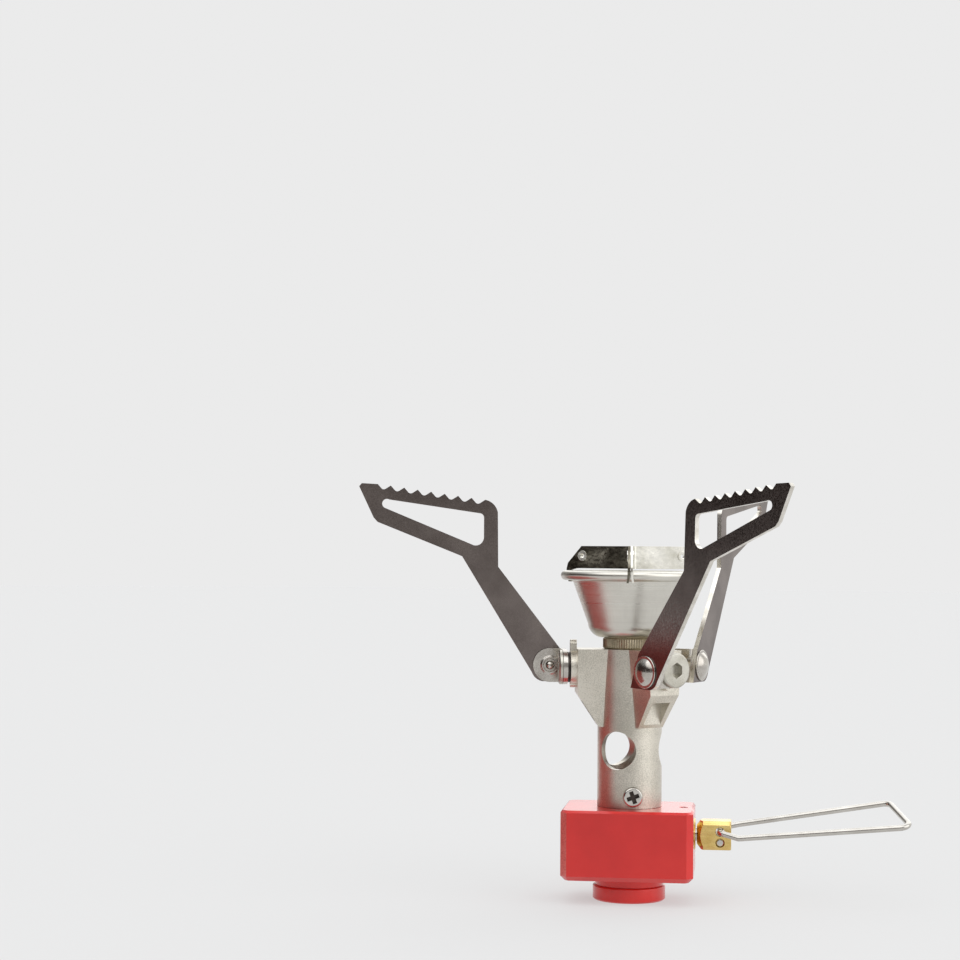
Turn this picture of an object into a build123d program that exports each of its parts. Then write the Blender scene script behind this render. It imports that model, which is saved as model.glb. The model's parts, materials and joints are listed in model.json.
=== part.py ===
from build123d import *
import math
import os

# Canister-top backpacking stove, in millimetres. The origin is the centre of the face that screws
# down on the canister, +Z is up, the valve block's front faces -Y and its valve comes out along +X.

os.makedirs("parts", exist_ok=True)

GAP = 0.05  # running clearance between pieces that slide or turn on each other
SHEET_GAP = 0.04  # half the space between two leaves of the wind screen

# Canister connection and valve block
COLLAR_R = 8.0
COLLAR_H = 3.3
GROOVE_R = 7.5
BLOCK_BOTTOM = 5.2
BLOCK_TOP = 20.4
BLOCK_HALF_WIDTH = 14.35
BLOCK_FRONT = -12.0
BLOCK_BACK = 10.0
COLLAR_CHAMFER = 0.35
COLLAR_ROUND = 0.4
CORNER_CHAMFER = 1.4
TOP_CHAMFER = 0.5
BOTTOM_CHAMFER = 1.0
THREAD_MINOR_R = 5.07  # 7/16-28 UNEF, plain wall at the minor radius
THREAD_TOP = 5.2
RELIEF_R = 5.35
RELIEF_TOP = 7.8
SEAL_RING_R = 4.4
SEAL_WIRE_R = 0.85
OPENING_PIN_R = 1.3
OPENING_PIN_TIP = 5.6
FILTER_R = 2.0
FILTER_BOTTOM = 9.0
FILTER_TOP = 10.2
INLET_R = 0.5
OUTLET_R = 0.7
SPIGOT_R = 5.55
SPIGOT_BORE_R = 3.9
SPIGOT_TOP = 26.0

# Valve, all turned about one line along X
VALVE_Z = 14.5
SEAT_X = 3.0
CHAMBER_R = 2.6
NEEDLE_STEM_R = 1.5
NEEDLE_THREAD_R = 2.5
NEEDLE_THREAD_START = 5.6
NEEDLE_THREAD_END = 9.0
ORING_X = 10.4
ORING_WIRE_R = 0.5
GLAND_START = 11.4
GLAND_R = 3.6
GLAND_END = 14.6
HEAD_START = 14.9
HEAD_END = 22.4
STEM_IN_HEAD = 2.6
HEAD_HALF = 3.15
HEAD_CHAMFER = 0.8
HEAD_ROUND_R = 4.1
HEAD_NOSE_R = 2.1
HANDLE_X = 20.0
HANDLE_Z = 15.4
LOWER_HOLE_Z = 13.0
WIRE_R = 0.65
HOLE_R = 0.98
LOCK_PIN_X = 12.0
LOCK_PIN_Y = -1.1
LOCK_PIN_R = 0.95
LOCK_PIN_BORE_R = 0.6
LOCK_HOLE_DEPTH = 2.0
LOCK_PIN_SUNK = 0.15

# Jet and mixing tube
JET_THREAD_R = 2.2
JET_BOTTOM = 17.2
JET_HEX = 5.5
JET_HEX_H = 2.4
JET_TIP_R = 1.7
JET_BORE_R = 0.8
JET_TOP = 24.6
ORIFICE_R = 0.16
TUBE_R = 7.1
TUBE_BORE_R = SPIGOT_R + GAP
TUBE_TOP = 55.0
AIR_HOLE_R = 4.15
AIR_HOLE_Z = 33.0
TUBE_SCREW_Z = 23.0
TUBE_SCREW_AZIMUTH = 9.0
TUBE_SCREW_HEAD_R = 2.1
TUBE_SCREW_HEAD_H = 1.1
TUBE_SCREW_SUNK = 0.4
TUBE_SCREW_R = 1.2
CROSS_SPAN = 2.7
CROSS_WIDTH = 0.85
CROSS_DEPTH = 0.8

# Three wings on the tube, each carrying one swivelling pot support
WING_AZIMUTHS = {"front": 42.5, "left": -81.0, "back": 159.0}  # from -Y towards +X
WING_END = 11.9
WING_BOTTOM = 38.0
WING_CHAMFER_Z = 45.3
WING_TOP_HALF = 4.7
WING_BOTTOM_HALF = 3.5
WING_WALL = 1.1
SWIVEL_Z = 50.9
BOSS_R = 3.8
BOSS_END = 13.3
LUG_TOP = 57.0
LUG_BOTTOM = 46.4
LUG_WIDTH = 2.2
WASHER_START = BOSS_END + GAP
WASHER_END = 13.9
WASHER_R = 3.35
PLATE_START = WASHER_END + GAP
PLATE_T = 1.0
PLATE_END = PLATE_START + PLATE_T
SWIVEL_SCREW_R = 1.9
SCREW_HEAD_START = PLATE_END + GAP
SCREW_HEAD_END = 15.85
SCREW_END = 8.6
SCREW_THREAD_R = 1.5
HEX_SOCKET = 3.0
HEX_DEPTH = 1.6

# Pot support, rivet and the ear that they hang on
RIVET_RADIAL = 17.2
EAR_INNER = 7.9
EAR_OUTER = 8.9
EAR_R = 3.8
ARM_INNER = EAR_OUTER + GAP
ARM_T = 1.05
ARM_OUTER = ARM_INNER + ARM_T
RIVET_R = 1.5
HEAD_RIM_R = 3.5
HEAD_RIM_H = 0.3
DOME_R = 2.9
DOME_RISE = 1.15
TAIL_FLANGE_R = 2.2
TAIL_RIM_R = 2.0
TAIL_RECESS_R = 1.4
TAIL_BALL_R = 1.0
ARM_TILT = {"front": -1.6, "left": 0.0, "back": 0.0}  # slack at the rivet, in degrees
SERRATION_PITCH = 3.07
SERRATIONS = 8
SERRATION_R = 0.75
SERRATION_DEPTH = 1.05
EDGE_SLOPE = 8.2  # degrees that the serrated edge rises outwards
VALLEY_SIDES = [(-1.5, 0.6), (-1.5, 0.0), (-0.49, -0.87), (0.49, -0.87), (1.5, 0.0), (1.5, 0.6)]

# Burner
NECK_R = 6.0
NECK_TOP = 57.5
NECK_BORE_R = 4.0
CUP_T = 0.6
CUP_BOTTOM = NECK_TOP + 0.1
CUP_TOP = 71.2
BEAD_RING_R = 14.35
BEAD_R = 1.05
PLATE_Z = 66.0
PLATE_R = 10.35
FLAME_PLATE_T = 0.8
FLAME_HOLE_R = 0.55
FLAME_RINGS = ((2.4, 6), (4.6, 12), (6.8, 18), (8.9, 24))  # radius, holes
VANE_AZIMUTHS = [3.0, 112.0, 243.0]
VANE_T = 0.5
VANE_TOP = 77.7
VANE_BOTTOM = 72.7
VANE_BEND_R = 1.2
EYELET_PLACE = (12.1, 75.5)  # from the axis, then height
EYELET_R = 0.85
EYELET_FLANGE_R = 1.15
EYELET_BORE_R = 0.5
EYELET_FLANGE_T = 0.17


def heading(azimuth):
    """Unit vector of a direction, measured from -Y towards +X."""
    turn = math.radians(azimuth)
    return Vector(math.sin(turn), -math.cos(turn), 0)


def beside(azimuth):
    """Unit vector a quarter turn clockwise of a direction, seen from above."""
    return heading(azimuth).cross(Vector(0, 0, 1))


def side_plane(azimuth, offset, height=0.0):
    """Upright plane along a direction: local x is the distance from the stove's axis, local y is up."""
    origin = beside(azimuth) * offset + Vector(0, 0, height)
    return Plane(origin=origin, x_dir=heading(azimuth), z_dir=beside(azimuth))


def end_plane(azimuth, radial, height):
    """Upright plane square to a direction: its normal points outwards, local y is up."""
    origin = heading(azimuth) * radial + Vector(0, 0, height)
    return Plane(origin=origin, x_dir=beside(azimuth) * -1, z_dir=heading(azimuth))


def save(piece, name):
    """Label a finished piece and write its STEP file."""
    piece.label = name
    export_step(piece, f"parts/{name}.step")


# --- Valve block with its canister collar, thread, gas passages and tube spigot ---
valve_axis = Axis((0, 0, VALVE_Z), (1, 0, 0))
block_depth = BLOCK_BACK - BLOCK_FRONT
block_mid_y = (BLOCK_BACK + BLOCK_FRONT) / 2
inlet_start = Vector(1.2, 0, FILTER_TOP - 0.2)
inlet_end = Vector(SEAT_X + 1.3, 0, VALVE_Z - 1.0)
inlet_run = inlet_end - inlet_start

with BuildPart() as valve_block:
    with BuildSketch(Plane.XY.offset(BLOCK_BOTTOM)):
        with Locations((0, block_mid_y)):
            Rectangle(2 * BLOCK_HALF_WIDTH, block_depth)
    extrude(amount=BLOCK_TOP - BLOCK_BOTTOM)
    chamfer(valve_block.edges().filter_by(Axis.Z), CORNER_CHAMFER)
    chamfer(valve_block.edges().group_by(Axis.Z)[-1], TOP_CHAMFER)
    chamfer(valve_block.edges().group_by(Axis.Z)[0], BOTTOM_CHAMFER)
    with BuildSketch(Plane.XY.offset(COLLAR_H)):
        Circle(GROOVE_R)
    extrude(amount=BLOCK_BOTTOM - COLLAR_H + 0.5)
    with BuildSketch(Plane.XY):
        Circle(COLLAR_R)
    extrude(amount=COLLAR_H)
    collar_edges = valve_block.edges().filter_by(GeomType.CIRCLE)
    collar_edges = collar_edges.filter_by(lambda e: abs(e.radius - COLLAR_R) < 0.01).sort_by(Axis.Z)
    chamfer(collar_edges[0], COLLAR_CHAMFER)
    fillet(collar_edges[-1], COLLAR_ROUND)
    with BuildSketch(Plane.XY.offset(BLOCK_TOP)):
        Circle(SPIGOT_R)
    extrude(amount=SPIGOT_TOP - BLOCK_TOP)
    # canister thread and the seat of its seal
    with BuildSketch(Plane.XY):
        Circle(THREAD_MINOR_R)
    extrude(amount=THREAD_TOP, mode=Mode.SUBTRACT)
    with BuildSketch(Plane.XY.offset(THREAD_TOP)):
        Circle(RELIEF_R)
    extrude(amount=RELIEF_TOP - THREAD_TOP, mode=Mode.SUBTRACT)
    # opening pin's hole and the filter's pocket above it
    with BuildSketch(Plane.XY.offset(RELIEF_TOP)):
        Circle(OPENING_PIN_R + GAP)
    extrude(amount=FILTER_BOTTOM - RELIEF_TOP, mode=Mode.SUBTRACT)
    with BuildSketch(Plane.XY.offset(FILTER_BOTTOM)):
        Circle(FILTER_R + GAP)
    extrude(amount=FILTER_TOP - FILTER_BOTTOM, mode=Mode.SUBTRACT)
    # slanted inlet to the needle chamber
    with BuildSketch(Plane(origin=inlet_start, z_dir=inlet_run)):
        Circle(INLET_R)
    extrude(amount=inlet_run.length, mode=Mode.SUBTRACT)
    # needle chamber and the wider pocket for the gland
    with BuildSketch(Plane(origin=(SEAT_X, 0, VALVE_Z), x_dir=(0, 1, 0), z_dir=(1, 0, 0))):
        Circle(CHAMBER_R)
    extrude(amount=BLOCK_HALF_WIDTH, mode=Mode.SUBTRACT)
    with BuildSketch(Plane(origin=(GLAND_START, 0, VALVE_Z), x_dir=(0, 1, 0), z_dir=(1, 0, 0))):
        Circle(GLAND_R)
    extrude(amount=BLOCK_HALF_WIDTH, mode=Mode.SUBTRACT)
    # outlet from the seat to the jet
    with BuildSketch(Plane(origin=(-OUTLET_R, 0, VALVE_Z), x_dir=(0, 1, 0), z_dir=(1, 0, 0))):
        Circle(OUTLET_R)
    extrude(amount=SEAT_X + OUTLET_R, mode=Mode.SUBTRACT)
    with BuildSketch(Plane.XY.offset(VALVE_Z)):
        Circle(OUTLET_R)
    extrude(amount=JET_BOTTOM - VALVE_Z, mode=Mode.SUBTRACT)
    with BuildSketch(Plane.XY.offset(JET_BOTTOM)):
        Circle(JET_THREAD_R)
    extrude(amount=BLOCK_TOP - JET_BOTTOM, mode=Mode.SUBTRACT)
    with BuildSketch(Plane.XY.offset(BLOCK_TOP)):
        Circle(SPIGOT_BORE_R)
    extrude(amount=SPIGOT_TOP - BLOCK_TOP, mode=Mode.SUBTRACT)
    # lock pin's hole and the tube screw's thread
    with BuildSketch(Plane.XY.offset(BLOCK_TOP)):
        with Locations((LOCK_PIN_X, LOCK_PIN_Y)):
            Circle(LOCK_PIN_R)
    extrude(amount=-LOCK_HOLE_DEPTH, mode=Mode.SUBTRACT)
    with BuildSketch(end_plane(TUBE_SCREW_AZIMUTH, SPIGOT_BORE_R - 1.0, TUBE_SCREW_Z)):
        Circle(TUBE_SCREW_R)
    extrude(amount=4.0, mode=Mode.SUBTRACT)
save(valve_block.part, "valve_block")

with BuildPart() as canister_seal:
    with BuildSketch(Plane.XZ):
        with Locations((SEAL_RING_R, RELIEF_TOP - SEAL_WIRE_R)):
            Circle(SEAL_WIRE_R)
    revolve(axis=Axis.Z)
save(canister_seal.part, "canister_seal")

with BuildPart() as opening_pin:
    with BuildSketch(Plane.XY.offset(OPENING_PIN_TIP)):
        Circle(OPENING_PIN_R)
    extrude(amount=FILTER_BOTTOM - OPENING_PIN_TIP)
    chamfer(opening_pin.edges().group_by(Axis.Z)[0], 0.4)
    with BuildSketch(Plane.XY.offset(OPENING_PIN_TIP)):
        SlotOverall(4.0, 0.7)
    extrude(amount=FILTER_BOTTOM - OPENING_PIN_TIP - 0.6, mode=Mode.SUBTRACT)
save(opening_pin.part, "opening_pin")

with BuildPart() as gas_filter:
    with BuildSketch(Plane.XY.offset(FILTER_BOTTOM)):
        Circle(FILTER_R)
    extrude(amount=FILTER_TOP - FILTER_BOTTOM - GAP)
save(gas_filter.part, "gas_filter")

with BuildPart() as lock_pin:
    with BuildSketch(Plane.XY.offset(BLOCK_TOP - LOCK_PIN_SUNK)):
        with Locations((LOCK_PIN_X, LOCK_PIN_Y)):
            Circle(LOCK_PIN_R)
            Circle(LOCK_PIN_BORE_R, mode=Mode.SUBTRACT)
    extrude(amount=LOCK_PIN_SUNK - LOCK_HOLE_DEPTH)
save(lock_pin.part, "lock_pin")

# --- Jet, inside the spigot ---
with BuildPart() as gas_jet:
    with BuildSketch(Plane.XY.offset(JET_BOTTOM)):
        Circle(JET_THREAD_R)
    extrude(amount=BLOCK_TOP - JET_BOTTOM)
    with BuildSketch(Plane.XY.offset(BLOCK_TOP)):
        RegularPolygon(JET_HEX / 2, 6, major_radius=False)
    extrude(amount=JET_HEX_H)
    with BuildSketch(Plane.XY.offset(BLOCK_TOP + JET_HEX_H)):
        Circle(JET_TIP_R)
    extrude(amount=JET_TOP - BLOCK_TOP - JET_HEX_H)
    chamfer(gas_jet.edges().group_by(Axis.Z)[-1], 0.6)
    with BuildSketch(Plane.XY.offset(JET_BOTTOM)):
        Circle(JET_BORE_R)
    extrude(amount=JET_TOP - JET_BOTTOM - 1.0, mode=Mode.SUBTRACT)
    with BuildSketch(Plane.XY.offset(JET_BOTTOM)):
        Circle(ORIFICE_R)
    extrude(amount=JET_TOP - JET_BOTTOM, mode=Mode.SUBTRACT)
save(gas_jet.part, "gas_jet")

# --- Valve needle, its gland and O-ring, and the brass head that the handle turns ---
with BuildPart() as valve_needle:
    with BuildSketch(Plane.XZ):
        with BuildLine():
            Polyline(
                (SEAT_X - 0.7, VALVE_Z),
                (SEAT_X - 0.7, VALVE_Z + 0.3),
                (SEAT_X + 0.75, VALVE_Z + 1.05),
                (NEEDLE_THREAD_START - 0.8, VALVE_Z + 1.05),
                (NEEDLE_THREAD_START, VALVE_Z + NEEDLE_THREAD_R),
                (NEEDLE_THREAD_END, VALVE_Z + NEEDLE_THREAD_R),
                (NEEDLE_THREAD_END, VALVE_Z + NEEDLE_STEM_R),
                (HEAD_START + STEM_IN_HEAD, VALVE_Z + NEEDLE_STEM_R),
                (HEAD_START + STEM_IN_HEAD, VALVE_Z),
                close=True,
            )
        make_face()
    revolve(axis=valve_axis)
save(valve_needle.part, "valve_needle")

with BuildPart() as stem_oring:
    with BuildSketch(Plane.XZ):
        with Locations((ORING_X, VALVE_Z + NEEDLE_STEM_R + GAP + ORING_WIRE_R)):
            Circle(ORING_WIRE_R)
    revolve(axis=valve_axis)
save(stem_oring.part, "stem_oring")

with BuildPart() as stem_gland:
    with BuildSketch(Plane(origin=(GLAND_START, 0, VALVE_Z), x_dir=(0, 1, 0), z_dir=(1, 0, 0))):
        Circle(GLAND_R - 0.03)
        Circle(NEEDLE_STEM_R + GAP, mode=Mode.SUBTRACT)
    extrude(amount=GLAND_END - GLAND_START)
    outer_rim = stem_gland.edges().group_by(Axis.X)[-1].sort_by(SortBy.RADIUS)[-1]
    chamfer(outer_rim, 0.3)
save(stem_gland.part, "stem_gland")

with BuildPart() as valve_head:
    with BuildSketch(Plane.XZ):
        with BuildLine():
            Polyline(
                (HEAD_START, VALVE_Z),
                (HEAD_START, VALVE_Z + HEAD_NOSE_R),
                (HEAD_START + 1.5, VALVE_Z + HEAD_ROUND_R),
                (HEAD_END - 0.5, VALVE_Z + HEAD_ROUND_R),
                (HEAD_END, VALVE_Z + HEAD_ROUND_R - 0.5),
                (HEAD_END, VALVE_Z),
                close=True,
            )
        make_face()
    revolve(axis=valve_axis)
    with BuildSketch(Plane(origin=(HEAD_START, 0, VALVE_Z), x_dir=(0, 1, 0), z_dir=(1, 0, 0))):
        head_square = Rectangle(2 * HEAD_HALF, 2 * HEAD_HALF)
        chamfer(head_square.vertices(), HEAD_CHAMFER)
    extrude(amount=HEAD_END - HEAD_START, mode=Mode.INTERSECT)
    with BuildSketch(Plane(origin=(HEAD_START, 0, VALVE_Z), x_dir=(0, 1, 0), z_dir=(1, 0, 0))):
        Circle(NEEDLE_STEM_R + GAP)
    extrude(amount=STEM_IN_HEAD + GAP, mode=Mode.SUBTRACT)
    with BuildSketch(Plane.XZ):
        with Locations((HANDLE_X, HANDLE_Z)):
            Circle(HOLE_R)
        with Locations((HANDLE_X, LOWER_HOLE_Z)):
            Circle(HOLE_R)
    extrude(amount=2 * HEAD_HALF, both=True, mode=Mode.SUBTRACT)
save(valve_head.part, "valve_head")

# The wire's other end stands in the head's lower hole
with BuildPart() as handle_pin:
    with BuildSketch(Plane.XZ.offset(-HEAD_HALF + 0.2)):
        with Locations((HANDLE_X, LOWER_HOLE_Z)):
            Circle(HOLE_R - 0.02)
    extrude(amount=2 * HEAD_HALF - 0.6)
    fillet(handle_pin.edges().group_by(Axis.Y)[0], 0.4)
save(handle_pin.part, "handle_pin")

# --- Wire handle: one closed bail, its two ends turned in to the head's upper hole ---
bail_points = [
    (HANDLE_X, -0.9, HANDLE_Z),
    (HANDLE_X, -4.6, HANDLE_Z),
    (24.0, -5.6, 14.4),
    (60.9, -7.6, 17.9),
    (57.0, 6.8, 21.4),
    (24.0, 5.2, 16.2),
    (HANDLE_X, 4.7, HANDLE_Z),
    (HANDLE_X, 0.9, HANDLE_Z),
]
bail_bends = [0.9, 1.2, 1.9, 1.9, 1.2, 0.9]
with BuildPart() as handle_wire:
    with BuildLine() as bail_path:
        FilletPolyline(*bail_points, radius=bail_bends)
    with BuildSketch(Plane(origin=bail_points[0], z_dir=(0, -1, 0))):
        Circle(WIRE_R)
    sweep()
save(handle_wire.part, "handle_wire")

# --- Mixing tube with its three wings ---
pocket_inner = TUBE_R + 0.5
pocket_outer = WING_END - WING_WALL
screw_seat = TUBE_R - TUBE_SCREW_SUNK
with BuildPart() as mixing_tube:
    with BuildSketch(Plane.XY.offset(BLOCK_TOP + GAP)):
        Circle(TUBE_R)
    extrude(amount=TUBE_TOP - BLOCK_TOP - GAP)
    for azimuth in WING_AZIMUTHS.values():
        with BuildSketch(Plane(origin=(0, 0, WING_BOTTOM), x_dir=heading(azimuth), z_dir=(0, 0, 1))):
            with Locations((WING_END / 2, 0)):
                Rectangle(WING_END, 2 * WING_BOTTOM_HALF)
        with BuildSketch(Plane(origin=(0, 0, TUBE_TOP), x_dir=heading(azimuth), z_dir=(0, 0, 1))):
            with Locations((WING_END / 2, 0)):
                Rectangle(WING_END, 2 * WING_TOP_HALF)
        loft()
        with BuildSketch(side_plane(azimuth, 0)):
            with BuildLine():
                Polyline(
                    (TUBE_R, WING_BOTTOM - 0.1),
                    (TUBE_R, WING_BOTTOM),
                    (WING_END, WING_CHAMFER_Z),
                    (WING_END + 1, WING_CHAMFER_Z),
                    (WING_END + 1, WING_BOTTOM - 0.1),
                    close=True,
                )
            make_face()
        extrude(amount=WING_TOP_HALF + 1, both=True, mode=Mode.SUBTRACT)
        with BuildSketch(side_plane(azimuth, 0)):
            with Locations(((pocket_inner + pocket_outer) / 2, WING_CHAMFER_Z)):
                Rectangle(pocket_outer - pocket_inner, 2 * (TUBE_TOP - WING_WALL - WING_CHAMFER_Z))
        extrude(amount=WING_BOTTOM_HALF - WING_WALL, both=True, mode=Mode.SUBTRACT)
        with BuildSketch(end_plane(azimuth, WING_END, SWIVEL_Z)):
            Circle(BOSS_R)
        extrude(amount=BOSS_END - WING_END)
        with BuildSketch(end_plane(azimuth, WING_END, SWIVEL_Z)):
            with Locations((0, (LUG_TOP + LUG_BOTTOM) / 2 - SWIVEL_Z)):
                SlotOverall(LUG_TOP - LUG_BOTTOM, LUG_WIDTH, rotation=90)
        extrude(amount=BOSS_END - WING_END)
        with BuildSketch(end_plane(azimuth, WING_END - WING_WALL - 0.5, SWIVEL_Z)):
            Circle(SCREW_THREAD_R)
        extrude(amount=BOSS_END, mode=Mode.SUBTRACT)
        with BuildSketch(end_plane(azimuth, WING_END, SWIVEL_Z)):
            Circle(SWIVEL_SCREW_R)
        extrude(amount=BOSS_END, mode=Mode.SUBTRACT)
        with BuildSketch(end_plane(azimuth + 60, 0, AIR_HOLE_Z)):
            Circle(AIR_HOLE_R)
        extrude(amount=TUBE_R + 2, mode=Mode.SUBTRACT)
    with BuildSketch(Plane.XY.offset(BLOCK_TOP)):
        Circle(TUBE_BORE_R)
    extrude(amount=TUBE_TOP, mode=Mode.SUBTRACT)
    with BuildSketch(end_plane(TUBE_SCREW_AZIMUTH, TUBE_BORE_R - 0.5, TUBE_SCREW_Z)):
        Circle(TUBE_SCREW_R + 0.1)
    extrude(amount=3.0, mode=Mode.SUBTRACT)
    with BuildSketch(end_plane(TUBE_SCREW_AZIMUTH, screw_seat, TUBE_SCREW_Z)):
        Circle(TUBE_SCREW_HEAD_R + 0.15)
    extrude(amount=2.0, mode=Mode.SUBTRACT)
save(mixing_tube.part, "mixing_tube")

with BuildPart() as tube_screw:
    with BuildSketch(end_plane(TUBE_SCREW_AZIMUTH, SPIGOT_BORE_R + 0.2, TUBE_SCREW_Z)):
        Circle(TUBE_SCREW_R)
    extrude(amount=screw_seat - SPIGOT_BORE_R - 0.2)
    with BuildSketch(end_plane(TUBE_SCREW_AZIMUTH, screw_seat, TUBE_SCREW_Z)):
        Circle(TUBE_SCREW_HEAD_R)
    extrude(amount=TUBE_SCREW_HEAD_H)
    head_axis = Axis(origin=(0, 0, 0), direction=heading(TUBE_SCREW_AZIMUTH))
    head_face = tube_screw.faces().sort_by(head_axis)[-1]
    fillet(head_face.edges(), 0.35)
    with BuildSketch(end_plane(TUBE_SCREW_AZIMUTH, screw_seat + TUBE_SCREW_HEAD_H, TUBE_SCREW_Z)):
        Rectangle(CROSS_SPAN, CROSS_WIDTH, rotation=20)
        Rectangle(CROSS_WIDTH, CROSS_SPAN, rotation=20)
    extrude(amount=-CROSS_DEPTH, mode=Mode.SUBTRACT)
save(tube_screw.part, "tube_screw")

# --- Burner neck, cup and flame plate, all turned about Z ---
with BuildPart() as burner_neck:
    with BuildSketch(Plane.XZ):
        with BuildLine():
            Polyline(
                (NECK_BORE_R, TUBE_TOP - 5),
                (SPIGOT_R, TUBE_TOP - 5),
                (SPIGOT_R, TUBE_TOP + GAP),
                (NECK_R - 0.15, TUBE_TOP + GAP),
                (NECK_R, TUBE_TOP + 0.3),
                (NECK_R, NECK_TOP - 0.3),
                (NECK_R - 0.15, NECK_TOP),
                (NECK_BORE_R + 0.9, NECK_TOP),
                (NECK_BORE_R + 0.9, NECK_TOP + 1.6),
                (NECK_BORE_R, NECK_TOP + 1.6),
                close=True,
            )
        make_face()
    revolve(axis=Axis.Z)
save(burner_neck.part, "burner_neck")

cup_hole_r = NECK_BORE_R + 0.95
with BuildPart() as burner_cup:
    with BuildSketch(Plane.XZ):
        with BuildLine():
            Line((cup_hole_r, CUP_BOTTOM), (6.9, CUP_BOTTOM))
            ThreePointArc((6.9, CUP_BOTTOM), (8.45, CUP_BOTTOM + 0.95), (9.35, CUP_BOTTOM + 3.0))
            Line((9.35, CUP_BOTTOM + 3.0), (12.75, CUP_TOP - 1.2))
            Line((12.75, CUP_TOP - 1.2), (BEAD_RING_R, CUP_TOP - 0.6))
            Line((BEAD_RING_R, CUP_TOP - 0.6), (BEAD_RING_R, CUP_TOP + 1.05))
            Line((BEAD_RING_R, CUP_TOP + 1.05), (12.15, CUP_TOP + 1.05))
            Line((12.15, CUP_TOP + 1.05), (12.15, CUP_TOP - 1.1))
            Line((12.15, CUP_TOP - 1.1), (8.8, CUP_BOTTOM + 3.1))
            ThreePointArc((8.8, CUP_BOTTOM + 3.1), (8.0, CUP_BOTTOM + 1.3), (6.8, CUP_BOTTOM + CUP_T))
            Line((6.8, CUP_BOTTOM + CUP_T), (cup_hole_r, CUP_BOTTOM + CUP_T))
            Line((cup_hole_r, CUP_BOTTOM + CUP_T), (cup_hole_r, CUP_BOTTOM))
        make_face()
        with Locations((BEAD_RING_R, CUP_TOP)):
            Circle(BEAD_R)
    revolve(axis=Axis.Z)
save(burner_cup.part, "burner_cup")

with BuildPart() as flame_plate:
    with BuildSketch(Plane.XY.offset(PLATE_Z)):
        Circle(PLATE_R)
        for ring_r, holes in FLAME_RINGS:
            with PolarLocations(ring_r, holes):
                Circle(FLAME_HOLE_R, mode=Mode.SUBTRACT)
    extrude(amount=FLAME_PLATE_T)
save(flame_plate.part, "flame_plate")

# --- Wind screen: three bent leaves back to back, hooked over the cup's bead ---
with BuildSketch() as vane_half:  # half of one leaf, from the axis out to the hook below the bead
    with BuildLine():
        Polyline(
            (14.9, 72.4),
            (13.6, VANE_BOTTOM),
            (0.0, VANE_BOTTOM),
            (0.0, VANE_TOP),
            (12.4, VANE_TOP),
            (15.95, 73.9),
            (16.3, 72.6),
            (16.3, 70.7),
            (15.9, 69.7),
            (15.2, 69.7),
            (15.2, 70.2),
        )
        ThreePointArc((15.2, 70.2), (15.58, CUP_TOP), (14.9, 72.4))
    make_face()
    with Locations(EYELET_PLACE):
        Circle(EYELET_R, mode=Mode.SUBTRACT)

next_azimuths = VANE_AZIMUTHS[1:] + VANE_AZIMUTHS[:1]
for number, (azimuth, next_azimuth) in enumerate(zip(VANE_AZIMUTHS, next_azimuths), start=1):
    with BuildPart() as wind_leaf:
        with BuildSketch(side_plane(azimuth, -SHEET_GAP - VANE_T)):
            add(vane_half.sketch)
        extrude(amount=VANE_T)
        with BuildSketch(side_plane(next_azimuth, SHEET_GAP)):
            add(vane_half.sketch)
        extrude(amount=VANE_T)
        # the bend's edge lies just past the corner where the two inner faces meet
        half_sector = math.radians((next_azimuth - azimuth) % 360 / 2)
        bend_distance = (SHEET_GAP + VANE_T) / math.sin(half_sector)
        upright_edges = wind_leaf.edges().filter_by(Axis.Z)
        bend_edge = upright_edges.filter_by(
            lambda e: abs(math.hypot(e.center().X, e.center().Y) - bend_distance) < 0.02
        )
        fillet(bend_edge, VANE_BEND_R)
    save(wind_leaf.part, f"wind_leaf_{number}")

eyelet_half = SHEET_GAP + VANE_T
flange_start = eyelet_half + 0.01
with BuildPart() as leaf_eyelets:
    for azimuth in VANE_AZIMUTHS:
        with BuildSketch(side_plane(azimuth, 0)):
            with Locations(EYELET_PLACE):
                Circle(EYELET_R - 0.01)
        extrude(amount=flange_start, both=True)
        for start in (-flange_start - EYELET_FLANGE_T, flange_start):
            with BuildSketch(side_plane(azimuth, start)):
                with Locations(EYELET_PLACE):
                    Circle(EYELET_FLANGE_R)
            extrude(amount=EYELET_FLANGE_T)
        with BuildSketch(side_plane(azimuth, 0)):
            with Locations(EYELET_PLACE):
                Circle(EYELET_BORE_R)
        extrude(amount=flange_start + EYELET_FLANGE_T, both=True, mode=Mode.SUBTRACT)
save(leaf_eyelets.part, "leaf_eyelets")


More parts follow.
